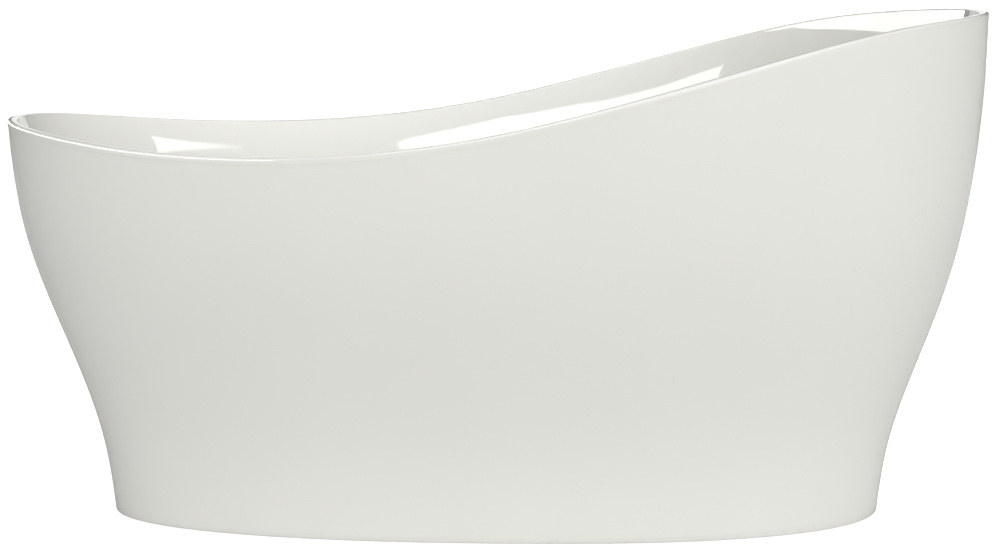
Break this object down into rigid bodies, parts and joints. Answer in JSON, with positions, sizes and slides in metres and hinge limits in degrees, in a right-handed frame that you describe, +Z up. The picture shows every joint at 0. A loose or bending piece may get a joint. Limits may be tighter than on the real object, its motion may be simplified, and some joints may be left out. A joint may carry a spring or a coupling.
{
  "type": "freestanding bathtub",
  "caption": "Freestanding slipper bathtub: a moulded basin in a flared oval skirt with a swept rim, on a steel frame with levelling feet, with a pop-up waste and an overflow.",
  "frame": {"origin": "on the floor, under the middle of the tub's overall box", "axes": "+X towards the high head end, +Y towards the bather's left when facing the foot end from the head end, +Z up"},
  "size_m": [1.5998, 0.7917, 0.836],
  "materials": {
    "acrylic": "high gloss, moulded",
    "paste": "cured bonding paste",
    "plywood": "raw ply, cut edges",
    "galvanised_steel": "zinc coated",
    "zinc_fixings": "bright zinc",
    "black_plastic": "moulded, fine grain",
    "rubber": "matt",
    "chrome": "polished",
    "pipe_plastic": "moulded pipe fitting",
    "brass": "turned",
    "hose": "flexible hose"
  },
  "bodies": {
    "tub": {"basin_shell": "acrylic", "outer_skirt": "acrylic", "rim_bond_bead": "paste", "bonding_dabs": "paste", "base_board": "plywood", "frame_rail_left": "galvanised_steel", "frame_rail_right": "galvanised_steel", "cross_bar_foot": "galvanised_steel", "cross_bar_middle": "galvanised_steel", "cross_bar_head": "galvanised_steel", "rail_end_plugs": "black_plastic", "bracket_screws": "zinc_fixings", "board_screws": "zinc_fixings", "foot_nuts": "zinc_fixings", "foot_washers": "zinc_fixings", "drain_flange": "chrome", "drain_top_seal": "rubber", "drain_gasket": "rubber", "waste_tee": "pipe_plastic", "tailpiece": "pipe_plastic", "tailpiece_washer": "rubber", "tailpiece_nut": "pipe_plastic", "stopper_barrel": "brass", "stopper_spring": "zinc_fixings", "overflow_elbow": "pipe_plastic", "overflow_back_seal": "rubber", "overflow_front_seal": "rubber", "overflow_ring": "chrome", "overflow_cover": "chrome", "overflow_hose": "hose", "hose_clips": "zinc_fixings", "skirt_bracket_1": "galvanised_steel", "skirt_bracket_2": "galvanised_steel", "skirt_bracket_3": "galvanised_steel", "skirt_bracket_4": "galvanised_steel", "skirt_bracket_5": "galvanised_steel", "skirt_bracket_6": "galvanised_steel"},
    "stopper": {"stopper_cap": "chrome", "stopper_seal": "rubber", "stopper_post": "brass"},
    "foot_1": {"foot_stem_1": "zinc_fixings", "foot_pad_1": "black_plastic", "foot_sole_1": "rubber"},
    "foot_2": {"foot_stem_2": "zinc_fixings", "foot_pad_2": "black_plastic", "foot_sole_2": "rubber"},
    "foot_3": {"foot_stem_3": "zinc_fixings", "foot_pad_3": "black_plastic", "foot_sole_3": "rubber"},
    "foot_4": {"foot_stem_4": "zinc_fixings", "foot_pad_4": "black_plastic", "foot_sole_4": "rubber"},
    "foot_5": {"foot_stem_5": "zinc_fixings", "foot_pad_5": "black_plastic", "foot_sole_5": "rubber"}
  },
  "joints": [
    {"name": "stopper_lift", "type": "slide", "parent": "tub", "child": "stopper", "axis": [0, 0, 1], "range_m": [0, 0.008], "deforming": ["stopper_spring"]},
    {"name": "foot_1_levelling", "type": "slide", "parent": "tub", "child": "foot_1", "axis": [0, 0, -1], "range_m": [-0.01, 0.01]},
    {"name": "foot_2_levelling", "type": "slide", "parent": "tub", "child": "foot_2", "axis": [0, 0, -1], "range_m": [-0.01, 0.01]},
    {"name": "foot_3_levelling", "type": "slide", "parent": "tub", "child": "foot_3", "axis": [0, 0, -1], "range_m": [-0.01, 0.01]},
    {"name": "foot_4_levelling", "type": "slide", "parent": "tub", "child": "foot_4", "axis": [0, 0, -1], "range_m": [-0.01, 0.01]},
    {"name": "foot_5_levelling", "type": "slide", "parent": "tub", "child": "foot_5", "axis": [0, 0, -1], "range_m": [-0.01, 0.01]}
  ]
}
